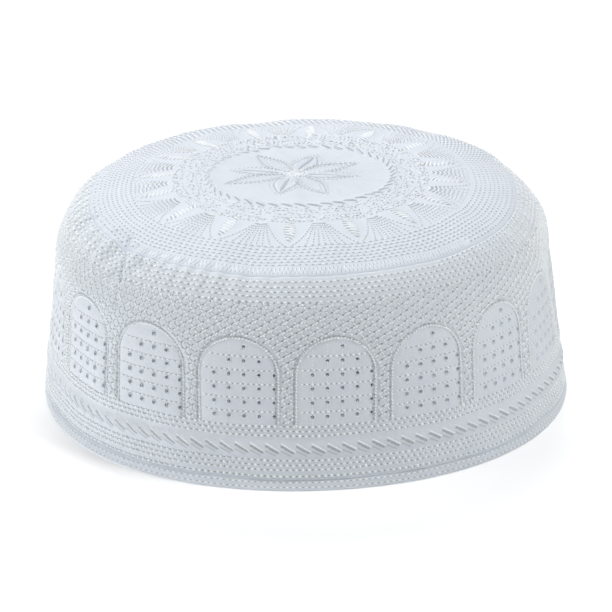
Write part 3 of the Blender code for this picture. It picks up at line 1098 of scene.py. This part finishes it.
def crown_ticks(shift, way):
    """Half of the zigzag in front, on the strip that the crown keeps smooth before its seam."""
    step = math.tau / TICKS
    turn = step * (np.arange(TICKS) + shift)
    turn = turn[-np.sin(turn) > math.cos(math.radians(SMOOTH_TURN))]
    return radial_marks(turn, 73.3 * MM, 76.5 * MM, np.zeros(2), 0.5 * way * step)


def crown_rows(shift):
    """Rings of running stitches up to the seam, the last two only beside and behind the smooth front."""
    groups = []
    for row in CROWN_ROWS:
        line = ring_line(row.run * MM, middle=np.zeros(2))
        groups.append(crown_sew(*line, row.pitch * MM, 0.5, row.shift + shift, True))
    for row in SIDE_ROWS:
        line = ring_line(row.run * MM, SMOOTH_TURN - 90, 270 - SMOOTH_TURN, np.zeros(2))
        groups.append(crown_sew(*line, row.pitch * MM, 0.5, row.shift + shift))
    return joined(groups)


def fan_lines(share, shift):
    """The ribbed fans between the leaves: stitched lines that spread from a point."""
    groups = []
    for repeat in range(REPEATS):
        toward = FIRST_FAN + math.tau * repeat / REPEATS
        for rib in np.linspace(-1, 1, 9):
            out = np.linspace(0, 1, 14)
            radius = (47.0 + 14.0 * out) * MM
            turn = toward + np.radians(rib * (1.2 + 5.8 * out ** 0.6) + 3.5 * rib ** 5 * out ** 3)
            groups.append(crown_sew(CROWN_MIDDLE[0] + radius * np.cos(turn),
                                    CROWN_MIDDLE[1] + radius * np.sin(turn), 1.45 * MM, share, shift))
    return joined(groups)


def scallops(share, shift):
    """Broken rings of running stitches between the rope ring and the leaves."""
    groups = []
    for radius, reach in ((37.6, 11), (42.7, 9.5), (46.0, 9)):
        for repeat in range(REPEATS):
            toward = math.degrees(FIRST_LEAF) + 360 * repeat / REPEATS
            groups.append(crown_sew(*ring_line(radius * MM, toward - reach, toward + reach), 1.5 * MM, share, shift))
    return joined(groups)


def leaf_marks(shift):
    """The slanted satin marks down each leaf, long in its middle and short at its ends."""
    share = (np.arange(LEAF_MARKS) + shift) / LEAF_MARKS
    out = LEAF_RADIUS + 14.0 * MM * (share - 0.5)
    half = (0.5 + 1.9 * np.sin(math.pi * share)) * MM
    groups = []
    for repeat in range(REPEATS):
        toward = FIRST_LEAF + math.tau * repeat / REPEATS
        ahead = np.array([math.cos(toward), math.sin(toward)])
        side = np.array([-ahead[1], ahead[0]])
        middle = CROWN_MIDDLE + out[:, None] * ahead
        reach = 0.8 * MM * ahead + half[:, None] * side
        groups.append(straight(on_crown, middle - reach, middle + reach))
    return joined(groups)


def seeds():
    """Scattered seed stitches between the rope ring and the scallops."""
    groups = []
    for radius in (35.9, 38.9, 40.6, 44.0, 45.3):
        count = int(math.tau * radius / 2.2)
        turn = math.tau * (np.arange(count) + 0.3 * rng.standard_normal(count)) / count
        spread = (radius + 0.5 * rng.standard_normal(count)) * MM
        middle = CROWN_MIDDLE + np.stack([spread * np.cos(turn), spread * np.sin(turn)], -1)
        lean = turn + math.pi / 2 + 0.5 * rng.standard_normal(count)
        half = 0.55 * MM * np.stack([np.cos(lean), np.sin(lean)], -1)
        groups.append(straight(on_crown, middle - half, middle + half))
    return joined(groups)


def rope_ring(offset, length, parts, count=48):
    """Slanted bars of the rope ring round the flower."""
    turn = math.tau * np.arange(count) / count
    radius = 33.3 * MM + offset
    middle = CROWN_MIDDLE + radius * np.stack([np.cos(turn), np.sin(turn)], -1)
    lean = turn + math.pi / 2 - math.radians(26)
    return in_parts(on_crown, middle, length * np.stack([np.cos(lean), np.sin(lean)], -1), parts)


def crown_shade_dots(name, stitches, width):
    """Painted shade for the crown's needle holes and lines, paler than the band's."""
    return shade_piece(name, stitches, width, 0.09 * MM, DOT_SHADE_LOOK)


def crown_embroidery():
    """Every stitch of the crown, with painted shade for its needle holes and lines."""
    thread_piece("crown_row_stitches", crown_rows(0.0), 0.55 * MM, 0.27 * MM)
    crown_shade_dots("crown_row_hole_shade", crown_rows(0.5), 0.56 * MM)
    thread_piece("crown_ticks", crown_ticks(0.0, 1), 0.4 * MM, 0.15 * MM)
    crown_shade_dots("crown_tick_hole_shade", crown_ticks(0.5, -1), 0.24 * MM)
    thread_piece("fan_stitches", fan_lines(0.5, 0.0), 0.5 * MM, 0.28 * MM)
    crown_shade_dots("fan_hole_shade", fan_lines(0.42, 0.5), 0.5 * MM)
    thread_piece("leaf_stitches", leaf_marks(0.0), 0.8 * MM, 0.4 * MM)
    crown_shade_dots("leaf_lines", leaf_marks(0.5), 0.4 * MM)
    thread_piece("scallop_stitches", scallops(0.5, 0.0), 0.42 * MM, 0.22 * MM)
    crown_shade_dots("scallop_hole_shade", scallops(0.45, 0.5), 0.4 * MM)
    thread_piece("seed_stitches", seeds(), 0.45 * MM, 0.25 * MM)
    crown_shade_dots("seed_hole_shade", seeds(), 0.45 * MM)
    thread_piece("rope_ring_bars", rope_ring(-0.5 * MM, 4.4 * MM, 1), 0.8 * MM, 0.35 * MM, CROWN_LOOK)
    crown_shade_dots("rope_ring_lines", rope_ring(0.2 * MM, 4.0 * MM, 3), 0.5 * MM)
    thread_piece("flower_stitches", flower_lines(0.5, 0.0), 0.42 * MM, 0.24 * MM)
    crown_shade_dots("flower_hole_shade", flower_lines(0.42, 0.5), 0.4 * MM)
    petal_cords()
    shade_piece("petal_shade_lines", petal_shade_lines(), 0.4 * MM, lift=0.1 * MM, material=VEIN_SHADE_LOOK)
    petal_veins()
    heart = radial_marks(math.tau * np.arange(16) / 16, 0.8 * MM, 3.4 * MM, FLOWER_MIDDLE)
    thread_piece("flower_heart", heart, 0.3 * MM, 0.2 * MM)


# Floor, light and camera

def plain_material(name, colour, glow):
    """A plain pale surface for the studio."""
    material = bpy.data.materials.new(name)
    material.use_nodes = True
    shader = material.node_tree.nodes["Principled BSDF"]
    shader.inputs["Base Color"].default_value = colour + (1,)
    shader.inputs["Roughness"].default_value = 0.9
    shader.inputs["Emission Color"].default_value = (1, 1, 1, 1)
    shader.inputs["Emission Strength"].default_value = glow
    return material


def studio():
    """A plain white floor and soft lights."""
    half = 6.0
    mesh = bpy.data.meshes.new("floor")
    mesh.from_pydata([(-half, -half, 0), (half, -half, 0), (half, half, 0), (-half, half, 0)], [], [(0, 1, 2, 3)])
    mesh.materials.append(plain_material("studio_white", (0.9, 0.9, 0.9), 0.24))
    floor = bpy.data.objects.new("floor", mesh)
    bpy.context.scene.collection.objects.link(floor)

    world = bpy.data.worlds.new("studio")
    world.use_nodes = True
    world.node_tree.nodes["Background"].inputs["Color"].default_value = (1, 1, 1, 1)
    world.node_tree.nodes["Background"].inputs["Strength"].default_value = 0.02
    bpy.context.scene.world = world

    soft_light("key", (0.45, -0.25, 1.2), 0.35, 7.0)
    soft_light("right", (0.9, -0.6, 0.9), 0.35, 4.0)
    soft_light("left", (-1.3, -0.3, 0.5), 1.0, 12.0)
    soft_light("back", (-0.2, 1.0, 1.1), 0.8, 13.0)


def soft_light(name, place, size, power):
    """A square soft light that faces the cap."""
    data = bpy.data.lights.new(name, "AREA")
    data.size = size
    data.energy = power
    light = bpy.data.objects.new(name, data)
    light.location = place
    light.rotation_euler = (Vector((0, 0, 0.04)) - Vector(place)).to_track_quat("-Z", "Y").to_euler()
    bpy.context.scene.collection.objects.link(light)
    return light


CAMERA_RISE = 21.77           # degrees above the floor
CAMERA_AWAY = 1.200
CAMERA_AIM = (0.0, -0.0006, 0.02927)
CAMERA_LENS = 201.6
SENSOR = 36.0


def camera():
    """The photograph's view: from the front and above, through a long lens."""
    rise = math.radians(CAMERA_RISE)
    data = bpy.data.cameras.new("camera")
    data.sensor_width = SENSOR
    data.lens = CAMERA_LENS
    view = bpy.data.objects.new("camera", data)
    aim = Vector(CAMERA_AIM)
    view.location = aim + CAMERA_AWAY * Vector((0, -math.cos(rise), math.sin(rise)))
    view.rotation_euler = (aim - view.location).to_track_quat("-Z", "Y").to_euler()
    bpy.context.scene.collection.objects.link(view)
    bpy.context.scene.camera = view


band_shell()
hem_shell()
crown_shell()
band_embroidery()
crown_embroidery()
studio()
camera()
bpy.context.scene.view_settings.view_transform = "Standard"
